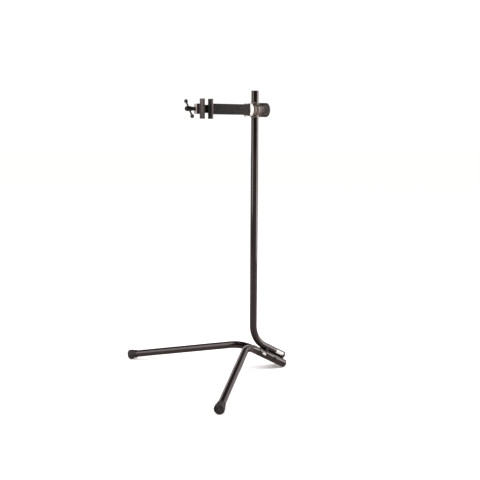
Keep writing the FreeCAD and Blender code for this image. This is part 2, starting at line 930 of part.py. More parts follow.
def jaw_arc(outer, inner, facing, axis):
    """An open channel round the clamped tube; facing 0 has its back to the arm, 180 away from it."""
    sector = {
        "spin": facing - number("jaw_half_angle"),
        "sweep": "2 * jaw_half_angle",
    }
    return cut(
        rod(outer, "-jaw_half", "jaw_half", "x", ("jaw_side", axis), **sector),
        rod(inner, "-jaw_half - past", "jaw_half + past", "x", ("jaw_side", axis)),
    )


def build_fixed_jaw():
    """The jaw at the arm's end, its rubber pad and the two screws that hold it."""
    place = collar_place()
    metal, pad = "clamp_radius + pad_thickness + jaw_wall", "clamp_radius + pad_thickness"
    seat = block(
        ("-seat_half", "seat_half"),
        ("jaw_side - seat_width / 2", "jaw_side + seat_width / 2"),
        ("arm_end", "arm_end + seat_depth"),
    )
    holes = []
    screws = []
    for where in ("jaw_screw_half", "-jaw_screw_half"):
        at = (where, "jaw_screw_side")
        start, end = "arm_end - jaw_screw_length", "arm_end + jaw_screw_top"
        head = "arm_end + jaw_screw_seat"
        holes.append(rod("jaw_screw_radius", "arm_end - past", "arm_end + seat_depth", at=at))
        holes.append(rod("jaw_screw_head", head, "arm_end + seat_depth", at=at))
        shank = rod("jaw_screw_radius", start, end, at=at)
        screws.append(fuse(shank, rod("jaw_screw_head", head, end, at=at)))
    bored = rod(pad, "-jaw_half - past", "jaw_half + past", "x", ("jaw_side", "jaw_axis"))
    jaw = fuse(jaw_arc(metal, pad, 0, "jaw_axis"), cut(seat, bored))
    node("fixed_jaw", cut(jaw, *holes), place)
    node("fixed_jaw_pad", jaw_arc(pad, "clamp_radius", 0, "jaw_axis"), place)
    node("fixed_jaw_screws", group(*screws), place)


def build_moving_jaw():
    """The moving jaw with its pad, the block it is pinned to, and the bar that the block slides on."""
    place = collar_place()
    axis = "jaw_axis + jaw_opening"
    metal, pad = "clamp_radius + pad_thickness + jaw_wall", "clamp_radius + pad_thickness"
    web_span = (f"{axis} + web_start", f"{axis} + web_depth")
    web = block(("-web_half", "web_half"), ("jaw_side", "block_inner"), web_span)
    bored = rod(pad, "-jaw_half - past", "jaw_half + past", "x", ("jaw_side", axis))
    dowels = []
    pins = []
    for where in ("jaw_screw_half", "-jaw_screw_half"):
        at = (where, "dowel_place")
        dowels.append(rod("jaw_screw_radius", "dowel_start", "dowel_end", "y", at))
        pins.append(rod("jaw_screw_radius", "dowel_start", "dowel_end", "y", at))
    jaw = fuse(jaw_arc(metal, pad, 180, axis), cut(web, bored))
    node("moving_jaw", cut(jaw, fuse(*dowels)), place)
    node("moving_jaw_pad", jaw_arc(pad, "clamp_radius", 180, axis), place)
    node("jaw_dowels", group(*pins), place)
    body = block(("-block_half", "block_half"), ("block_inner", "block_outer"), ("block_start", "block_end"))
    tools = [rod(metal, "-block_half - past", "block_half + past", "x", ("jaw_side", axis))]
    bore_span = ("block_start - past", "block_end + past")
    tools.append(rod("screw_radius + running_gap", *bore_span, at=("0", "screw_side")))
    tools.append(slide(("block_start - past", "slide_end")))
    for where in ("jaw_screw_half", "-jaw_screw_half"):
        tools.append(rod("jaw_screw_radius", "dowel_start", "dowel_end", "y", (where, "dowel_place")))
    node("jaw_block", cut(body, *tools), place)
    node("slide_bar", group(slide(("slide_start", "slide_end"))), place)


def build_screw():
    """The clamp screw with its clip, its sliding bar and the bar's two balls."""
    place = collar_place()
    axis = ("0", "screw_side")
    groove_low, groove_high = "block_start - gap - washer", "block_start - gap"
    flange = "block_end + gap"
    screw = turned([
        ("0", "screw_start"),
        ("screw_radius", "screw_start"),
        ("screw_radius", groove_low),
        ("clip_groove", groove_low),
        ("clip_groove", groove_high),
        ("screw_radius", groove_high),
        ("screw_radius", flange),
        ("screw_flange", flange),
        ("screw_flange", f"{flange} + screw_flange_width"),
        ("screw_radius", f"{flange} + screw_flange_width"),
        ("screw_radius", "head_start"),
        ("screw_flange", "head_start"),
        ("head_radius", "head_start + head_taper"),
        ("head_radius", "head_end - dome_start"),
        ("head_radius - dome_shoulder", "head_end - dome_middle"),
        ("dome_flat", "head_end"),
        ("0", "head_end"),
    ])
    base_at(screw, "0", "screw_side", "0")
    across = rod("bar_radius", "-bar_half", "bar_half", "x")
    lean = Rotation(Vector(0, 0, 1), 90 - number("bar_angle"))
    centre = Vector(0, number("screw_side"), number("bar_place"))
    hole = group(across)
    hole.Placement = Placement(centre, lean)
    node("clamp_screw", cut(screw, hole), place)
    node("screw_clip", ring("clip_radius", "clip_groove", groove_low, groove_high, at=axis), place)
    bar_place = place * Placement(centre, lean)
    node("tommy_bar", group(rod("bar_radius", "-bar_half", "bar_half", "x")), bar_place)
    balls = []
    for end in ("ball_place", "-ball_place"):
        ball = doc.addObject("Part::Sphere", "Ball")
        bind(ball, Radius="ball_radius")
        base_at(ball, end, "0", "0")
        balls.append(cut(ball, rod("bar_radius", "-bar_half", "bar_half", "x")))
    node("bar_balls", group(*balls), bar_place)


def check_and_write():
    """Stop on any failed object or bad shape, then write each sub-part to its own file."""
    doc.recompute()
    for thing in doc.Objects:
        if "Invalid" in thing.State or "Error" in thing.State:
            raise RuntimeError(f"{thing.Label} failed: {thing.State}")
    os.makedirs("parts", exist_ok=True)
    for piece in nodes:
        shape = piece.Shape
        if shape.isNull() or not shape.isValid() or not shape.Solids:
            raise RuntimeError(f"{piece.Label} has no valid solid")
        shape.exportStep(f"parts/{piece.Label}.step")


fill_sheet()
add_size("leg_swing", leg_opening())
build_upright()
build_saddles()
for name, side in SIDES.items():
    build_socket(name, side)
node("retaining_screws", group(*[lock_screw(side) for side in SIDES.values()]))
for name, side in SIDES.items():
    build_leg(name, side)
build_collar()
build_knob()
build_pivot_head()
build_arm()
build_fixed_jaw()
build_moving_jaw()
build_screw()
check_and_write()
print("leg opening angle", round(SIZES["leg_swing"], 3), "upright top", round(upright_top(), 2))
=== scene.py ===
import json
import math

import bmesh
import bpy
from mathutils import Matrix, Vector


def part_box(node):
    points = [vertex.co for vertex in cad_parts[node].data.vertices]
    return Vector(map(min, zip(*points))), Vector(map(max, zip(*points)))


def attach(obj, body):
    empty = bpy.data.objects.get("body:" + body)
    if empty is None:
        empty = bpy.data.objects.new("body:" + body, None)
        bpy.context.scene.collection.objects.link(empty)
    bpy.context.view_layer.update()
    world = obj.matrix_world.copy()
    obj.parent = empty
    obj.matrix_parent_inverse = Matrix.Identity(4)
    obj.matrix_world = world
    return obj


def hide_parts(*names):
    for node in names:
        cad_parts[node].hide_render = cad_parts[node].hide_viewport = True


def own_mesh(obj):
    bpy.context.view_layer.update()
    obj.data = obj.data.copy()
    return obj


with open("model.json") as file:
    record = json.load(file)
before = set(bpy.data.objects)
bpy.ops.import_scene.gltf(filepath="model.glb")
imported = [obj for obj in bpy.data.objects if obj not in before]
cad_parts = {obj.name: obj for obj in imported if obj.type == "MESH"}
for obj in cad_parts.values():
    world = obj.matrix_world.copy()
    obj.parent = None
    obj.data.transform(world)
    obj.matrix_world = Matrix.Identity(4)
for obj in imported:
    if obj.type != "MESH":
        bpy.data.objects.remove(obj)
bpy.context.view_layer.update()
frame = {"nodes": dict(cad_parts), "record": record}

MM = 0.001
TURN = 2 * math.pi
RECORD = frame["record"]
JOINTS = {joint["name"]: joint for joint in RECORD["behaviour"]["joints"]}
BODY_OF = {node: body for body, nodes in RECORD["behaviour"]["bodies"].items() for node in nodes}
SLOT_OF = {part["node"]: part["material_slot"] for part in RECORD["subparts"]}

COLLAR = Vector(JOINTS["collar_swivel"]["pos_m"])
SCREW = Vector(JOINTS["screw_turn"]["pos_m"])
TUBE_RADIUS = 17.5 * MM
SOCKET_RADIUS = 20 * MM
# From the plane of the two sockets' axes up to the tail's axis
TAIL_RISE = 37.5 * MM


# Places


def place_on(origin, forwards, up):
    """A matrix whose Z runs forwards and whose X is as near to up as it can be."""
    z = Vector(forwards).normalized()
    y = z.cross(Vector(up)).normalized()
    x = y.cross(z)
    turn = Matrix((x, y, z)).transposed().to_4x4()
    return Matrix.Translation(origin) @ turn


def collar_frame():
    """The collar frame: Z forwards along the arm, X up."""
    return place_on(COLLAR, (-1, 0, 0), (0, 0, 1))


def socket_frame(side):
    """The frame of one leg's socket: Z up its slope, X up and back."""
    joint = JOINTS[f"leg_{side}_fold"]
    axis = Vector(joint["axis"])
    if axis.z < 0:
        axis = -axis
    return place_on(Vector(joint["pos_m"]), axis, (0, 0, 1))


def tail_frame():
    """The frame midway between the two sockets, which has the tail's axis at X = TAIL_RISE."""
    left, right = socket_frame("left"), socket_frame("right")
    middle = left.copy()
    middle.translation = (left.translation + right.translation) / 2
    return middle


def foot_place(side):
    """The foot cap's frame: out of the socket, round the leg's bend and down to its end."""
    swing = math.radians(122.475 if side == "left" else -122.475)
    bend = math.radians(61.2)
    radius, before, after = 105 * MM, 180 * MM, 545 * MM
    corner = Vector((radius * (1 - math.cos(bend)), 0, before + radius * math.sin(bend)))
    place = socket_frame(side) @ Matrix.Rotation(swing, 4, "Z") @ Matrix.Translation(corner)
    return place @ Matrix.Rotation(bend, 4, "Y") @ Matrix.Translation((0, 0, after))


# Mesh helpers


def new_piece(name, verts, faces, smooth_angle):
    """A mesh object with smooth faces that meet in sharp edges past an angle."""
    mesh = bpy.data.meshes.new(name)
    mesh.from_pydata([tuple(v) for v in verts], [], faces)
    mesh.validate()
    edit = bmesh.new()
    edit.from_mesh(mesh)
    bmesh.ops.remove_doubles(edit, verts=edit.verts, dist=0.0001 * MM)
    bmesh.ops.recalc_face_normals(edit, faces=edit.faces)
    edit.to_mesh(mesh)
    edit.free()
    smooth(mesh, smooth_angle)
    piece = bpy.data.objects.new(name, mesh)
    bpy.context.scene.collection.objects.link(piece)
    return piece


def smooth(mesh, angle):
    """Shade the mesh smooth with sharp edges past an angle in degrees."""
    mesh.polygons.foreach_set("use_smooth", [True] * len(mesh.polygons))
    mesh.set_sharp_from_angle(angle=math.radians(angle))


def filleted(corners, steps=6):
    """The points of an outline of (across, up, fillet radius) corners, with arcs at its corners."""
    points = []
    for index, (across, up, radius) in enumerate(corners):
        here = Vector((across, up))
        if radius <= 0 or index in (0, len(corners) - 1):
            points.append(here)
            continue
        back = (Vector(corners[index - 1][:2]) - here).normalized()
        on = (Vector(corners[index + 1][:2]) - here).normalized()
        half = back.angle(on) / 2
        reach = radius / math.tan(half)
        centre = here + (back + on).normalized() * (radius / math.sin(half))
        start = here + back * reach - centre
        sweep = start.angle_signed(here + on * reach - centre)
        for step in range(steps + 1):
            turn = -sweep * step / steps
            points.append(centre + Matrix.Rotation(turn, 2) @ start)
    return [(point.x, point.y) for point in points]


def spread(first, last, steps):
    """Evenly spaced numbers from first to last, with both of them."""
    return [first + (last - first) * step / steps for step in range(steps + 1)]


def skin(name, rings, smooth_angle=35, closed=False):
    """A piece through rings of points, capped at both ends or closed on itself."""
    rows, around = len(rings), len(rings[0])
    faces = []
    for row in range(rows if closed else rows - 1):
        below, above = row * around, (row + 1) % rows * around
        for spot in range(around):
            following = (spot + 1) % around
            faces.append((below + spot, below + following, above + following, above + spot))
    if not closed:
        faces.append(tuple(reversed(range(around))))
        faces.append(tuple(range((rows - 1) * around, rows * around)))
    return new_piece(name, [point for ring in rings for point in ring], faces, smooth_angle)


def slab(name, front, back, smooth_angle):
    """A piece between a front and a back grid of points, with a rim round their edges."""
    rows, stride = len(front), len(front[0])
    layer = rows * stride
    faces = []
    for row in range(rows - 1):
        for column in range(stride - 1):
            here = row * stride + column
            quad = (here, here + 1, here + stride + 1, here + stride)
            faces.append(tuple(reversed(quad)))
            faces.append(tuple(corner + layer for corner in quad))
    rim = list(range(stride))
    rim += [row * stride + stride - 1 for row in range(1, rows)]
    rim += [(rows - 1) * stride + column for column in range(stride - 2, -1, -1)]
    rim += [row * stride for row in range(rows - 2, 0, -1)]
    for first, second in zip(rim, rim[1:] + rim[:1]):
        faces.append((first, second, second + layer, first + layer))
    points = [point for grid in (back, front) for row in grid for point in row]
    return new_piece(name, points, faces, smooth_angle)


def lathe(name, outline, place, segments=96, swell=None, closed=False):
    """A piece turned about Z from (radius, height) points; swell gives each point's radius."""
    rings = []
    for radius, height in outline:
        ring = []
        for step in range(segments):
            angle = TURN * step / segments
            reach = swell(angle, height, radius) if swell else radius
            ring.append(place @ Vector((reach * math.cos(angle), reach * math.sin(angle), height)))
        rings.append(ring)
    return skin(name, rings, closed=closed)


def finish_piece(piece, body, slot, *nodes, look=None):
    """Ride the piece on its body, give it the material of its slot or of its own look, and hide the nodes
    that it stands for.
    """
    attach(piece, body)
    if nodes:
        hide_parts(*nodes)
    if look is None:
        look = LOOK_OF.get(nodes[0], slot) if nodes else slot
    piece.data.materials.clear()
    piece.data.materials.append(MATERIALS[look])


def soften(node, width):
    """Make a copy of a node with its sharp edges rounded, which stands for it."""
    merge = 0.002 * MM
    flat, edge = math.radians(0.4), math.radians(32)
    mesh = frame["nodes"][node].data.copy()
    if "custom_normal" in mesh.attributes:
        mesh.attributes.remove(mesh.attributes["custom_normal"])
    edit = bmesh.new()
    edit.from_mesh(mesh)
    bmesh.ops.remove_doubles(edit, verts=edit.verts, dist=merge)
    bmesh.ops.dissolve_limit(
        edit, angle_limit=flat, verts=edit.verts, edges=edit.edges, use_dissolve_boundaries=False
    )
    edit.to_mesh(mesh)
    edit.free()
    piece = bpy.data.objects.new(f"{node}_rounded", mesh)
    bpy.context.scene.collection.objects.link(piece)
    rounding = piece.modifiers.new("Rounding", "BEVEL")
    rounding.width = width
    rounding.segments = 3
    rounding.limit_method = "ANGLE"
    rounding.angle_limit = edge
    rounding.use_clamp_overlap = True
    rounding.miter_outer = "MITER_ARC"
    depsgraph = bpy.context.evaluated_depsgraph_get()
    rounded = bpy.data.meshes.new_from_object(piece.evaluated_get(depsgraph))
    piece.modifiers.clear()
    piece.data = rounded
    smooth(rounded, 40)
    finish_piece(piece, BODY_OF[node], SLOT_OF[node], node)


# Materials


class Nodes:
    """A small builder of node trees."""

    def __init__(self, owner):
        owner.use_nodes = True
        self.tree = owner.node_tree

    def node(self, kind, **values):
        """A new node with values for its properties."""
        made = self.tree.nodes.new(kind)
        for name, value in values.items():
            setattr(made, name, value)
        return made

    def link(self, source, target):
        self.tree.links.new(source, target)

    def product(self, first, second):
        """Two numbers multiplied."""
        multiplied = self.node("ShaderNodeMath", operation="MULTIPLY")
        self.link(first, multiplied.inputs[0])
        self.link(second, multiplied.inputs[1])
        return multiplied.outputs[0]

    def along(self, vector, direction):
        """How far a vector reaches along a fixed direction."""
        reach = self.node("ShaderNodeVectorMath", operation="DOT_PRODUCT")
        reach.inputs[1].default_value = direction
        self.link(vector, reach.inputs[0])
        return reach.outputs["Value"]

    def span(self, value, low, high, start=0.0, end=1.0, kind="LINEAR"):
        """The value's stretch from low to high mapped to start and end."""
        mapped = self.node("ShaderNodeMapRange", interpolation_type=kind)
        for name, number in (("From Min", low), ("From Max", high), ("To Min", start), ("To Max", end)):
            mapped.inputs[name].default_value = number
        self.link(value, mapped.inputs["Value"])
        return mapped.outputs["Result"]

    def eased(self, value, low, high, start, end):
        """As span, with a soft start and end."""
        return self.span(value, low, high, start, end, "SMOOTHSTEP")


class Shader(Nodes):
    """A builder of node materials on object coordinates, which are metres in the stand's frame."""

    def __init__(self, name):
        self.material = bpy.data.materials.new(name)
        super().__init__(self.material)
        self.surface = self.tree.nodes["Principled BSDF"]
        self.coordinates = self.node("ShaderNodeTexCoord").outputs["Object"]

    def stretched(self, scale):
        """Coordinates stretched by three factors."""
        mapping = self.node("ShaderNodeMapping")
        mapping.inputs["Scale"].default_value = scale
        self.link(self.coordinates, mapping.inputs["Vector"])
        return mapping.outputs["Vector"]

    def noise(self, scale, detail, roughness=0.55, stretch=(1, 1, 1)):
        """Cloudy noise from 0 to 1."""
        texture = self.node("ShaderNodeTexNoise")
        texture.inputs["Scale"].default_value = scale
        texture.inputs["Detail"].default_value = detail
        texture.inputs["Roughness"].default_value = roughness
        self.link(self.stretched(stretch), texture.inputs["Vector"])
        return texture.outputs["Fac"]

    def ramp(self, value, dark, light, low=0.3, high=0.7):
        """A colour that goes from dark to light as the value goes from low to high."""
        ramp = self.node("ShaderNodeValToRGB")
        for element, position, colour in zip(ramp.color_ramp.elements, (low, high), (dark, light)):
            element.position = position
            element.color = (*colour, 1.0)
        self.link(value, ramp.inputs["Fac"])
        return ramp.outputs["Color"]

    def varied(self, value, middle, least, most):
        """A middle number times the least to the most factor, over a noise's usual stretch."""
        return self.span(value, 0.3, 0.7, middle * least, middle * most)

    def mix(self, factor, first, second):
        """Two colours mixed by a factor."""
        mixed = self.node("ShaderNodeMix", data_type="RGBA")
        self.link(factor, mixed.inputs["Factor"])
        for socket, colour in ((mixed.inputs[6], first), (mixed.inputs[7], second)):
            if isinstance(colour, tuple):
                socket.default_value = (*colour, 1.0)
            else:
                self.link(colour, socket)
        return mixed.outputs[2]

    def bump(self, height, strength, distance, below=None):
        """A bump, on top of another one if given."""
        raised = self.node("ShaderNodeBump")
        raised.inputs["Strength"].default_value = strength
        raised.inputs["Distance"].default_value = distance
        self.link(height, raised.inputs["Height"])
        if below:
            self.link(below, raised.inputs["Normal"])
        return raised.outputs["Normal"]

    def set(self, **values):
        """Numbers, colours or links on the surface shader's sockets."""
        for name, value in values.items():
            socket = self.surface.inputs[name.replace("_", " ")]
            if isinstance(value, bpy.types.NodeSocket):
                self.link(value, socket)
            elif isinstance(value, tuple):
                socket.default_value = (*value, 1.0)
            else:
                socket.default_value = value


def coated(name, dark, light, scuff, roughness, grain, coat=0.0, gloss=0.5):
    """Powder coat: a slightly uneven colour, a fine orange-peel skin and sparse pale scuffs."""
    shader = Shader(name)
    cloud = shader.noise(scale=14.0, detail=3.0)
    colour = shader.ramp(cloud, dark, light)
    scratches = shader.noise(scale=420.0, detail=2.0, stretch=(1, 1, 0.08))
    patches = shader.noise(scale=22.0, detail=3.0)
    scratched = shader.span(scratches, low=0.66, high=0.74, end=0.5)
    patched = shader.span(patches, low=0.56, high=0.72)
    worn = shader.product(scratched, patched)
    shader.set(Base_Color=shader.mix(worn, colour, scuff))
    smear = shader.noise(scale=38.0, detail=5.0, roughness=0.65)
    shader.set(Roughness=shader.varied(smear, roughness, least=0.75, most=1.35))
    peel = shader.noise(scale=900.0, detail=2.0)
    waves = shader.noise(scale=230.0, detail=2.0)
    normal = shader.bump(peel, strength=0.05 * grain, distance=0.0003)
    shader.set(Normal=shader.bump(waves, strength=0.02 * grain, distance=0.0004, below=normal))
    shader.set(Coat_Weight=coat, Coat_Roughness=0.07, IOR=1.42, Specular_IOR_Level=gloss)
    return shader.material


def cast_metal(name, dark, light, roughness, grain):
    """Cast and tumbled metal: mottled grey with a fine pitted skin."""
    shader = Shader(name)
    cloud = shader.noise(scale=45.0, detail=5.0, roughness=0.6)
    shader.set(Base_Color=shader.ramp(cloud, dark, light, low=0.32, high=0.68))
    shader.set(Metallic=0.85)
    fine = shader.noise(scale=260.0, detail=4.0, roughness=0.6)
    shader.set(Roughness=shader.varied(fine, roughness, least=0.85, most=1.2))
    pits = shader.noise(scale=1400.0, detail=2.0)
    swell = shader.noise(scale=160.0, detail=3.0)
    normal = shader.bump(pits, strength=0.3 * grain, distance=0.0003)
    shader.set(Normal=shader.bump(swell, strength=0.16 * grain, distance=0.001, below=normal))
    return shader.material


def machined_front(name, paint, bare, roughness):
    """Dark painted sides and a bare machined front, which is the face that looks forwards."""
    shader = Shader(name)
    cloud = shader.noise(scale=60.0, detail=4.0)
    sides = shader.ramp(cloud, paint, tuple(1.6 * part for part in paint))
    front = shader.ramp(cloud, bare, tuple(1.25 * part for part in bare))
    facing = shader.along(shader.node("ShaderNodeTexCoord").outputs["Normal"], (-1, 0, 0))
    shader.set(Base_Color=shader.mix(shader.span(facing, low=0.55, high=0.85), sides, front))
    fine = shader.noise(scale=420.0, detail=4.0)
    shader.set(Roughness=shader.varied(fine, roughness, least=0.85, most=1.2))
    shader.set(Metallic=0.3, Normal=shader.bump(fine, strength=0.12, distance=0.0004))
    return shader.material


def turned_metal(name, dark, light, roughness, metallic=0.95):
    """Turned metal: fine rings about the arm's long axis, with a slightly streaked sheen."""
    shader = Shader(name)
    shift = shader.node("ShaderNodeVectorMath", operation="SUBTRACT")
    shift.inputs[1].default_value = COLLAR
    shader.link(shader.coordinates, shift.inputs[0])
    flat = shader.node("ShaderNodeVectorMath", operation="MULTIPLY")
    flat.inputs[1].default_value = (0, 1, 1)
    shader.link(shift.outputs[0], flat.inputs[0])
    length = shader.node("ShaderNodeVectorMath", operation="LENGTH")
    shader.link(flat.outputs[0], length.inputs[0])
    ringed = shader.node("ShaderNodeTexNoise", noise_dimensions="1D")
    ringed.inputs["Scale"].default_value = 2600.0
    ringed.inputs["Detail"].default_value = 3.0
    shader.link(length.outputs["Value"], ringed.inputs["W"])
    rings = ringed.outputs["Fac"]
    cloud = shader.noise(scale=60.0, detail=4.0)
    shader.set(Base_Color=shader.ramp(cloud, dark, light), Metallic=metallic)
    shader.set(Roughness=shader.varied(rings, roughness, least=0.8, most=1.3))
    shader.set(Normal=shader.bump(rings, strength=0.12, distance=0.0002))
    return shader.material


def plated_steel(name, dark, light, roughness):
    """Zinc-plated or blackened steel: a faint mottle and fine handling marks."""
    shader = Shader(name)
    cloud = shader.noise(scale=120.0, detail=5.0, roughness=0.6)
    shader.set(Base_Color=shader.ramp(cloud, dark, light), Metallic=0.9)
    marks = shader.noise(scale=700.0, detail=3.0, stretch=(1, 1, 0.2))
    shader.set(Roughness=shader.varied(marks, roughness, least=0.75, most=1.35))
    shader.set(Normal=shader.bump(marks, strength=0.08, distance=0.0002))
    return shader.material


def moulded(name, dark, light, roughness, grain, dust=0.0):
    """Moulded plastic or rubber: a fine spark-eroded grain, and dust that settles in patches."""
    dust_colour = (0.22, 0.20, 0.18)
    shader = Shader(name)
    cloud = shader.noise(scale=32.0, detail=4.0)
    colour = shader.ramp(cloud, dark, light)
    specks = shader.noise(scale=75.0, detail=6.0, roughness=0.7)
    dusty = shader.span(specks, low=0.5, high=0.8, end=dust)
    shader.set(Base_Color=shader.mix(dusty, colour, dust_colour))
    shader.set(Roughness=shader.varied(cloud, roughness, least=0.9, most=1.1))
    pores = shader.noise(scale=1100.0, detail=3.0)
    shader.set(Normal=shader.bump(pores, strength=0.22 * grain, distance=0.0003))
    shader.set(IOR=1.4)
    return shader.material


def paper(name, dark, light, roughness):
    """A blank white label, slightly creased."""
    shader = Shader(name)
    cloud = shader.noise(scale=90.0, detail=3.0)
    shader.set(Base_Color=shader.ramp(cloud, dark, light))
    crease = shader.noise(scale=160.0, detail=2.0)
    shader.set(Roughness=roughness, Normal=shader.bump(crease, strength=0.1, distance=0.0006))
    return shader.material


# Each look's maker and its values
LOOKS = {
    "tube_paint": (coated, {
        "dark": (0.0035, 0.0018, 0.0018), "light": (0.0070, 0.0042, 0.0040), "scuff": (0.05, 0.045, 0.04),
        "roughness": 0.11, "grain": 0.8, "coat": 0.35,
    }),
    # Painted shade, in part: the tube paint's black made rougher, uncoated, less glossy and with darker
    # scuffs, so that the saddles and weld beads stay as dark as the shaded gap between the tail and the
    # sockets.
    "weld_paint": (coated, {
        "dark": (0.0035, 0.0022, 0.0022), "light": (0.0070, 0.0045, 0.0043), "scuff": (0.03, 0.027, 0.024),
        "roughness": 0.45, "grain": 1.6, "gloss": 0.2,
    }),
    "arm_paint": (coated, {
        "dark": (0.011, 0.0108, 0.0098), "light": (0.021, 0.0205, 0.019), "scuff": (0.07, 0.065, 0.06),
        "roughness": 0.34, "grain": 1.4, "gloss": 0.3,
    }),
    "jaw_paint": (coated, {
        "dark": (0.021, 0.017, 0.0155), "light": (0.036, 0.030, 0.0275), "scuff": (0.15, 0.14, 0.13),
        "roughness": 0.42, "grain": 1.6,
    }),
    "block_metal": (machined_front, {
        "paint": (0.016, 0.012, 0.011), "bare": (0.26, 0.25, 0.235), "roughness": 0.45,
    }),
    "collar_metal": (cast_metal, {
        "dark": (0.105, 0.092, 0.082), "light": (0.150, 0.134, 0.121), "roughness": 0.38, "grain": 0.25,
    }),
    "flange_metal": (turned_metal, {
        "dark": (0.56, 0.54, 0.52), "light": (0.66, 0.64, 0.62), "roughness": 0.5, "metallic": 0.15,
    }),
    "zinc_steel": (plated_steel, {
        "dark": (0.46, 0.45, 0.44), "light": (0.64, 0.63, 0.61), "roughness": 0.32,
    }),
    "screw_steel": (plated_steel, {
        "dark": (0.022, 0.019, 0.017), "light": (0.045, 0.040, 0.036), "roughness": 0.34,
    }),
    "knob_plastic": (moulded, {
        "dark": (0.006, 0.0036, 0.0035), "light": (0.010, 0.0068, 0.0066),
        "roughness": 0.30, "grain": 0.5, "dust": 0.03,
    }),
    "cap_plastic": (moulded, {
        "dark": (0.009, 0.008, 0.008), "light": (0.015, 0.014, 0.013),
        "roughness": 0.34, "grain": 0.8, "dust": 0.05,
    }),
    "foot_rubber": (moulded, {
        "dark": (0.007, 0.0065, 0.006), "light": (0.014, 0.013, 0.012),
        "roughness": 0.6, "grain": 1.6, "dust": 0.15,
    }),
    "pad_rubber": (moulded, {
        "dark": (0.009, 0.0085, 0.008), "light": (0.016, 0.015, 0.0145),
        "roughness": 0.6, "grain": 1.4, "dust": 0.1,
    }),
    "nylon": (moulded, {
        "dark": (0.13, 0.112, 0.102), "light": (0.18, 0.158, 0.145), "roughness": 0.45, "grain": 0.6,
    }),
    "brass": (turned_metal, {
        "dark": (0.50, 0.36, 0.16), "light": (0.66, 0.50, 0.25), "roughness": 0.3,
    }),
    "friction_disc": (moulded, {
        "dark": (0.12, 0.075, 0.05), "light": (0.2, 0.13, 0.09), "roughness": 0.8, "grain": 2.0,
    }),
    "dull_zinc": (plated_steel, {
        "dark": (0.10, 0.096, 0.092), "light": (0.20, 0.19, 0.18), "roughness": 0.4,
    }),
    "pale_nylon": (moulded, {
        "dark": (0.40, 0.38, 0.36), "light": (0.50, 0.48, 0.455), "roughness": 0.45, "grain": 0.6,
    }),
    "label": (paper, {"dark": (0.42, 0.41, 0.40), "light": (0.50, 0.49, 0.48), "roughness": 0.42}),
}
MATERIALS = {name: maker(name, **values) for name, (maker, values) in LOOKS.items()}
# Nodes that look different from the rest of their slot
LOOK_OF = {
    # The saddles sit in the shaded gap and take the duller copy of the tube paint, which is painted shade.
    "saddle_rear": "weld_paint",
    "saddle_front": "weld_paint",
    "tail_rivet": "dull_zinc",
    "stop_block_left": "pale_nylon",
    "stop_block_right": "pale_nylon",
}


def paint_nodes():
    """Give every CAD node the material of its slot, or its own."""
    for node, thing in frame["nodes"].items():
        thing.data.materials.clear()
        thing.data.materials.append(MATERIALS[LOOK_OF.get(node, SLOT_OF[node])])


# Pieces


def build_knob():
    """The knurled clamp knob: a skirt over the collar's end, a diamond knurl and a rounded far end."""
    low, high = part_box("clamp_knob")
    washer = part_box("thrust_washer")[1].x
    radius = (high.y - low.y) / 2
    near, far = COLLAR.x - low.x, COLLAR.x - high.x
    face = COLLAR.x - washer - 0.3 * MM
    knurl_near, knurl_far = near - 9 * MM, far + 4.5 * MM
    bore, skirt, cap = 10 * MM, 29.3 * MM, 12 * MM
    depth, sharpness = 0.9 * MM, 1.6
    starts, climb = 40, 1 / (7.5 * MM)

    def swell(angle, height, reach):
        if reach < radius - 0.01 * MM or not knurl_far <= height <= knurl_near:
            return reach
        turns = starts * angle / TURN
        one = abs((turns + climb * height) % 1.0 - 0.5) * 2
        other = abs((turns - climb * height) % 1.0 - 0.5) * 2
        ease = min(1.0, (knurl_near - height) / MM, (height - knurl_far) / MM)
        return reach - depth * max(0.0, 1 - sharpness * min(one, other)) * ease

    rounded = filleted([
        (bore, face, 0),
        (skirt, face, 0),
        (skirt, near, 0.3 * MM),
        (radius - 1.1 * MM, near, 0.6 * MM),
        (radius, near - 1.1 * MM, 0.6 * MM),
        (radius, knurl_near, 0),
    ])
    rounded += [(radius, height) for height in spread(knurl_near, knurl_far, 120)[1:]]
    rounded += filleted([
        (radius, knurl_far - 0.2 * MM, 0),
        (radius, far + 3.8 * MM, 2 * MM),
        (radius - 3.8 * MM, far, 3.2 * MM),
        (cap + 4 * MM, far, 0.5 * MM),
        (cap + 3.4 * MM, far + 0.5 * MM, 0.3 * MM),
        (cap + 1.6 * MM, far + 0.5 * MM, 0.3 * MM),
        (cap, far, 0.3 * MM),
        (cap, far + 2 * MM, 0),
        (bore, far + 2 * MM, 0),
    ])
    knob = lathe("knob_grip", rounded, collar_frame(), 400, swell, closed=True)
    finish_piece(knob, "knob", "knob_plastic", "clamp_knob")


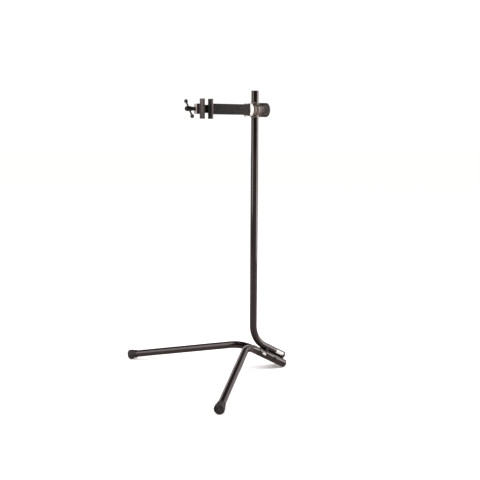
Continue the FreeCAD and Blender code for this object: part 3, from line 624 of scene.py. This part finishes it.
def build_foot_caps():
    """Rubber foot caps with rounded edges, a grooved skirt and a dished, ringed tread, in millimetres."""
    outer, bore, skirt = 23.4, 17.5, 20.4
    mouth, tread_face, dish = -30.0, 14.0, 12.0
    depth, pitch = 0.8, 4.4
    grooves = []
    for groove in range(3):
        start = mouth + 3.0 + groove * pitch
        grooves += [(skirt, start, 0.3), (skirt - depth, start + 0.5, 0.3)]
        grooves += [(skirt - depth, start + 1.5, 0.3), (skirt, start + 2.0, 0.3)]
    rings = []
    for ring in range(3):
        start = 18.2 - ring * 2.6
        rings += [(start, tread_face, 0.25), (start - 0.5, tread_face - depth, 0.2)]
        rings += [(start - 1.1, tread_face - depth, 0.2), (start - 1.6, tread_face, 0.25)]
    outline = [
        (bore, 6.0, 0),
        (bore, mouth, 0.6),
        (skirt, mouth, 0.9),
        *grooves,
        (skirt, -12.5, 3.0),
        (outer, -6.0, 4.0),
        (outer, 9.0, 2.6),
        (skirt + 0.4, tread_face, 2.2),
        *rings,
        (11.2, tread_face, 0.5),
        (9.6, dish, 0.8),
        (0.4, dish, 0),
    ]
    points = [(across * MM, up * MM) for across, up in filleted(outline)]
    for side in ("left", "right"):
        cap = lathe(f"foot_cap_{side}_rubber", points, foot_place(side))
        finish_piece(cap, f"leg_{side}", "foot_rubber", f"foot_cap_{side}")


def principal_axis(points, towards):
    """The axis of a turned node: the direction between the centres of its two ends."""
    end_depth = 3 * MM
    direction = Vector(towards).normalized()
    for _ in range(60):
        reach = [point.dot(direction) for point in points]
        high, low = max(reach), min(reach)
        top = [point for point, far in zip(points, reach) if far > high - end_depth]
        bottom = [point for point, far in zip(points, reach) if far < low + end_depth]
        direction = (centre_of(top) - centre_of(bottom)).normalized()
    return direction


def centre_of(points):
    """The mean of some points."""
    return sum(points, Vector()) / len(points)


def build_screw():
    """The clamp screw: a real thread, a grooved collar, and a smooth domed head round the bar."""
    place = place_on(Vector((COLLAR.x, SCREW.y, SCREW.z)), (-1, 0, 0), (0, 0, 1))
    low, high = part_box("clamp_screw")
    start, end = COLLAR.x - high.x, COLLAR.x - low.x
    low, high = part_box("jaw_block")
    block_back, block_front = COLLAR.x - high.x, COLLAR.x - low.x
    radius, depth, pitch = 4.5 * MM, 0.8 * MM, 2.5 * MM
    crest, slope = 0.12, 4.5
    undercut, collar_radius, head_radius = 3.5 * MM, 9 * MM, 11.5 * MM

    def swell(angle, height, reach):
        inside_block = block_back - 2.5 * MM < height < block_front + 4 * MM
        if abs(reach - radius) > 0.01 * MM or inside_block:
            return reach
        phase = (height / pitch - angle / TURN) % 1.0
        return reach - depth * min(1.0, max(0.0, (abs(phase - 0.5) - crest) * slope))

    shoulder = block_front + 0.3 * MM
    thread_start, thread_end = start + 0.6 * MM, block_back - 1.9 * MM
    rows = round((thread_end - thread_start) / (0.35 * MM))
    outline = [(radius - depth, start)]
    outline += [(radius, height) for height in spread(thread_start, thread_end, rows)]
    outline += [(undercut, block_back - 1.8 * MM), (undercut, block_back - 0.3 * MM)]
    outline += [(radius, block_back - 0.29 * MM), (radius, shoulder)]
    collar = [(radius, shoulder, 0), (collar_radius, shoulder, 0.6 * MM)]
    for groove in (5.0, 9.5):
        for rise, sink in ((0.0, 0.0), (0.7, 0.7), (1.5, 0.7), (2.2, 0.0)):
            collar.append((collar_radius - sink * MM, shoulder + (groove + rise) * MM, 0.2 * MM))
    collar += [
        (collar_radius, end - 33 * MM, 1.5 * MM),
        (head_radius, end - 29 * MM, 3 * MM),
        (head_radius, end - 10 * MM, 7 * MM),
        (9 * MM, end - 3.2 * MM, 5 * MM),
        (3.6 * MM, end, 3 * MM),
        (0.3 * MM, end, 0),
    ]
    outline += filleted(collar, 8)[1:]
    screw = lathe("clamp_screw_threaded", outline, place, 64, swell)
    finish_piece(screw, "screw", "screw_steel", "clamp_screw")


def build_bar():
    """The sliding bar's two balls, smooth and with a short neck where the bar enters."""
    bar = [vertex.co for vertex in frame["nodes"]["tommy_bar"].data.vertices]
    middle = centre_of(bar)
    direction = principal_axis(bar, bar[0] - middle)
    radius, distance = 9 * MM, 46.6 * MM
    neck_end, neck_top = -9.6 * MM, -7.2 * MM
    outline = filleted([
        (4.0 * MM, neck_end, 0),
        (5.6 * MM, neck_end, 0.7 * MM),
        (5.8 * MM, neck_top, 0.8 * MM),
    ], 4)[:-1]
    for angle in spread(math.asin(-7.0 / 9.0), math.pi / 2 - 0.02, 28):
        outline.append((radius * math.cos(angle), radius * math.sin(angle)))
    for name, out in (("bar_ball_top", direction), ("bar_ball_low", -direction)):
        ball = lathe(name, outline, place_on(middle + out * distance, out, (1, 0, 0)), 64)
        finish_piece(ball, "screw", "cap_plastic", "bar_balls")


def build_spring():
    """The coil spring under the lock button."""
    low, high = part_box("lock_spring")
    wire = 0.7 * MM
    coil = (high.x - low.x) / 2 - wire
    centre = (low + high) / 2
    length = high.y - low.y - 2 * wire
    turns, closed, around, steps = 7, 0.8, 10, 280
    rings = []
    for part in spread(0, 1, steps):
        angle = TURN * turns * part
        climb = min(1.0, max(0.0, (part * turns - closed) / (turns - 2 * closed)))
        out = Vector((math.cos(angle), 0, math.sin(angle)))
        ring = []
        for spot in range(around):
            roll = -TURN * spot / around
            reach = coil + wire * math.cos(roll)
            height = low.y + wire + length * climb + wire * math.sin(roll)
            ring.append(Vector((centre.x, height, centre.z)) + out * reach)
        rings.append(ring)
    spring = skin("lock_spring_coil", rings, 50)
    finish_piece(spring, BODY_OF["lock_spring"], "zinc_steel", "lock_spring")
    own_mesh(spring)


def build_pad(name, node, body, facing):
    """A rubber jaw liner with shallow cross ribs on its gripping face."""
    low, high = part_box(node)
    half_angle = math.radians(62)
    inner, outer = 16 * MM, 19 * MM
    side = (low.y + high.y) / 2
    axis = high.x - outer if facing > 0 else low.x + outer
    rib, groove, rounding = 4.5 * MM, 0.7 * MM, 0.8 * MM
    crest, slope = 0.72, 7
    grip, back = [], []
    for height in spread(low.z, high.z, 160):
        phase = abs(((height - low.z) / rib) % 1.0 - 0.5) * 2
        bite = groove * min(1.0, max(0.0, (phase - crest) * slope))
        edge = min(height - low.z, high.z - height)
        ease = rounding * max(0.0, 1 - edge / rounding) ** 2
        for grid, radius in ((grip, inner + bite + ease), (back, outer)):
            row = []
            for angle in spread(-half_angle, half_angle, 30):
                along = axis + facing * radius * math.cos(angle)
                row.append((along, side + radius * math.sin(angle), height))
            grid.append(row)
    pad = slab(name, grip, back, 30)
    finish_piece(pad, body, "pad_rubber", node)


def build_bead(name, place, centre, radius, start, end, height):
    """A weld bead: a rippled, half-round run along an arc about a tube."""
    thickness, ripple_length = 1.7 * MM, 2.2 * MM
    length = abs(end - start) * radius
    steps, around = round(length / (0.45 * MM)), 10
    rings = []
    for step, angle in enumerate(spread(start, end, steps)):
        out = Vector((math.cos(angle), math.sin(angle), 0))
        ripple = abs(math.sin(math.pi * length * step / steps / ripple_length))
        taper = min(1.0, 0.35 + 4 * min(step, steps - step) / steps)
        girth = thickness * (0.84 + 0.2 * ripple) * taper
        ring = []
        for number in range(around):
            roll = TURN * number / around
            spot = Vector(centre) + out * (radius + girth * 0.55 * math.cos(roll) + girth * 0.25)
            spot.z = height + girth * math.sin(roll)
            ring.append(place @ spot)
        rings.append(ring)
    piece = skin(name, rings, 60)
    # The beads take the duller copy of the tube paint, which is painted shade for the gap they sit in.
    finish_piece(piece, "frame", "tube_paint", look="weld_paint")


def build_welds():
    """Weld beads where the two saddles meet the tail and the sockets."""
    middle = tail_frame()
    spread = (socket_frame("left").translation - socket_frame("right").translation).length / 2
    saddle_length = 12 * MM
    tail_arc = math.radians(98), math.radians(262)
    for name, start in (("rear", 16 * MM), ("front", 118 * MM)):
        for end_name, height in (("near", start), ("far", start + saddle_length)):
            label = f"weld_{name}_{end_name}"
            build_bead(f"{label}_tail", middle, (TAIL_RISE, 0, 0), TUBE_RADIUS, *tail_arc, height)
            for side, sign in (("left", 1), ("right", -1)):
                centre = (0, sign * spread, 0)
                side_arc = sign * math.radians(12), -sign * math.radians(100)
                build_bead(f"{label}_{side}", middle, centre, SOCKET_RADIUS, *side_arc, height)


def build_label():
    """The blank label on the right side of the tail's end."""
    middle = tail_frame()
    inner = TUBE_RADIUS + 0.12 * MM
    outer = inner + 0.14 * MM
    start, end = math.radians(-114), math.radians(-56)
    low, high = 20 * MM, 66 * MM
    face, back = [], []
    for up in spread(low, high, 18):
        for grid, reach in ((face, outer), (back, inner)):
            row = []
            for angle in spread(start, end, 40):
                spot = Vector((TAIL_RISE + reach * math.cos(angle), reach * math.sin(angle), up))
                row.append(middle @ spot)
            grid.append(row)
    piece = slab("tail_label", face, back, 50)
    finish_piece(piece, "frame", "cap_plastic", look="label")


def build_softened():
    """Round the sharp edges of the cast, folded and machined pieces, by widths in millimetres."""
    for node, width in (
        ("collar_body", 1.2),
        ("pivot_head", 1.0),
        ("arm_tube", 0.5),
        ("arm_end_block", 0.6),
        ("fixed_jaw", 0.8),
        ("moving_jaw", 0.8),
        ("jaw_block", 1.4),
        ("hinge_bolt", 0.6),
        ("hinge_nut", 0.6),
        ("lock_button", 1.2),
        ("collar_sleeve", 0.6),
        ("retaining_screws", 0.9),
        ("stop_block_left", 0.7),
        ("stop_block_right", 0.7),
        ("tail_rivet", 0.8),
        ("socket_left", 0.4),
        ("socket_right", 0.4),
        ("socket_plug_left", 0.8),
        ("socket_plug_right", 0.8),
        ("upright_top_cap", 0.5),
        ("upright_tail_cap", 0.5),
        ("knob_cap", 0.8),
        ("friction_washer", 0.3),
        ("thrust_washer", 0.3),
    ):
        soften(node, width * MM)


# Stage


def view_frame():
    """The camera's right, up and view directions."""
    view = Vector((0.49361, 0.85968, -0.13129)).normalized()
    roll = math.radians(0.30)
    level = view.cross(Vector((0, 0, 1))).normalized()
    rise = level.cross(view)
    right = level * math.cos(roll) + rise * math.sin(roll)
    return right, right.cross(view), view


def build_floor():
    """A plain pale floor, which the glossy tubes mirror less brightly than it looks."""
    bpy.ops.mesh.primitive_plane_add(size=80, location=(0, 0, 0))
    floor = bpy.context.object
    floor.name = "floor"
    shader = Shader("floor_paper")
    mirrored = shader.node("ShaderNodeLightPath").outputs["Is Glossy Ray"]
    shader.set(Base_Color=shader.mix(mirrored, (0.955, 0.948, 0.945), (0.42, 0.36, 0.355)))
    shader.set(Roughness=1.0, Specular_IOR_Level=0.0)
    floor.data.materials.append(shader.material)


def build_world():
    """A white studio, in which the stand mirrors a bright far wall, a dark near wall and a dark ceiling."""
    world = bpy.data.worlds.new("Studio")
    bpy.context.scene.world = world
    studio = Nodes(world)
    white = studio.tree.nodes["Background"]
    white.inputs["Color"].default_value = (1.0, 0.995, 0.99, 1)
    white.inputs["Strength"].default_value = 1.06
    mirrored = studio.node("ShaderNodeBackground")
    mirrored.inputs["Color"].default_value = (1.0, 0.90, 0.885, 1)
    direction = studio.node("ShaderNodeTexCoord").outputs["Generated"]
    away = view_frame()[2]
    away = Vector((away.x, away.y, 0)).normalized()
    wall = studio.eased(studio.along(direction, away), low=-0.1, high=0.7, start=0.03, end=1.15)
    rise = studio.along(direction, (0, 0, 1))
    ceiling = studio.eased(rise, low=0.49, high=0.54, start=1.0, end=0.04)
    studio.link(studio.product(wall, ceiling), mirrored.inputs["Strength"])
    choice = studio.node("ShaderNodeMixShader")
    glossy = studio.node("ShaderNodeLightPath").outputs["Is Glossy Ray"]
    for number, source in enumerate((glossy, white.outputs[0], mirrored.outputs[0])):
        studio.link(source, choice.inputs[number])
    studio.link(choice.outputs[0], studio.tree.nodes["World Output"].inputs["Surface"])


def build_lights():
    """Tall soft boxes to the left and right of the stand, and a soft one above that aims at its foot."""
    right, _, view = view_frame()
    level_view = Vector((view.x, view.y, 0)).normalized()
    middle = Vector((0, 0, 0.7))
    for name, across, along, height, size, power in (
        ("left_box", -2.2, -1.2, 2.2, (2.4, 4.2), 110),
        ("right_box", 2.6, 0.05, 1.5, (1.8, 3.0), 100),
        ("top_box", 0.5, -1.2, 4.4, (1.2, 1.2), 10),
    ):
        data = bpy.data.lights.new(name, "AREA")
        data.shape = "RECTANGLE"
        data.size, data.size_y = size
        data.energy = power
        data.color = (1.0, 0.90, 0.89)
        light = bpy.data.objects.new(name, data)
        light.location = middle + right * across + level_view * along
        light.location.z = height
        aim = middle if height < 3 else Vector((0, 0, 0))
        light.rotation_euler = (aim - light.location).to_track_quat("-Z", "Y").to_euler()
        bpy.context.scene.collection.objects.link(light)


def build_camera():
    """The camera, placed from where the upright's axis meets the floor."""
    offset = Vector((-1.986, -3.325, 1.156))
    data = bpy.data.cameras.new("camera")
    data.lens = 61.05
    data.sensor_width = 36.0
    data.clip_end = 200
    camera = bpy.data.objects.new("camera", data)
    foot = Vector((COLLAR.x, COLLAR.y, 0))
    right, up, view = view_frame()
    turn = Matrix((right, up, -view)).transposed().to_4x4()
    camera.matrix_world = Matrix.Translation(foot + offset) @ turn
    bpy.context.scene.collection.objects.link(camera)
    bpy.context.scene.camera = camera
    bpy.context.scene.view_settings.view_transform = "Standard"


build_floor()
build_world()
build_lights()
build_camera()
paint_nodes()
build_softened()
build_knob()
build_foot_caps()
build_screw()
build_bar()
build_spring()
build_pad("fixed_jaw_liner", "fixed_jaw_pad", "arm", 1)
build_pad("moving_jaw_liner", "moving_jaw_pad", "jaw", -1)
build_welds()
build_label()
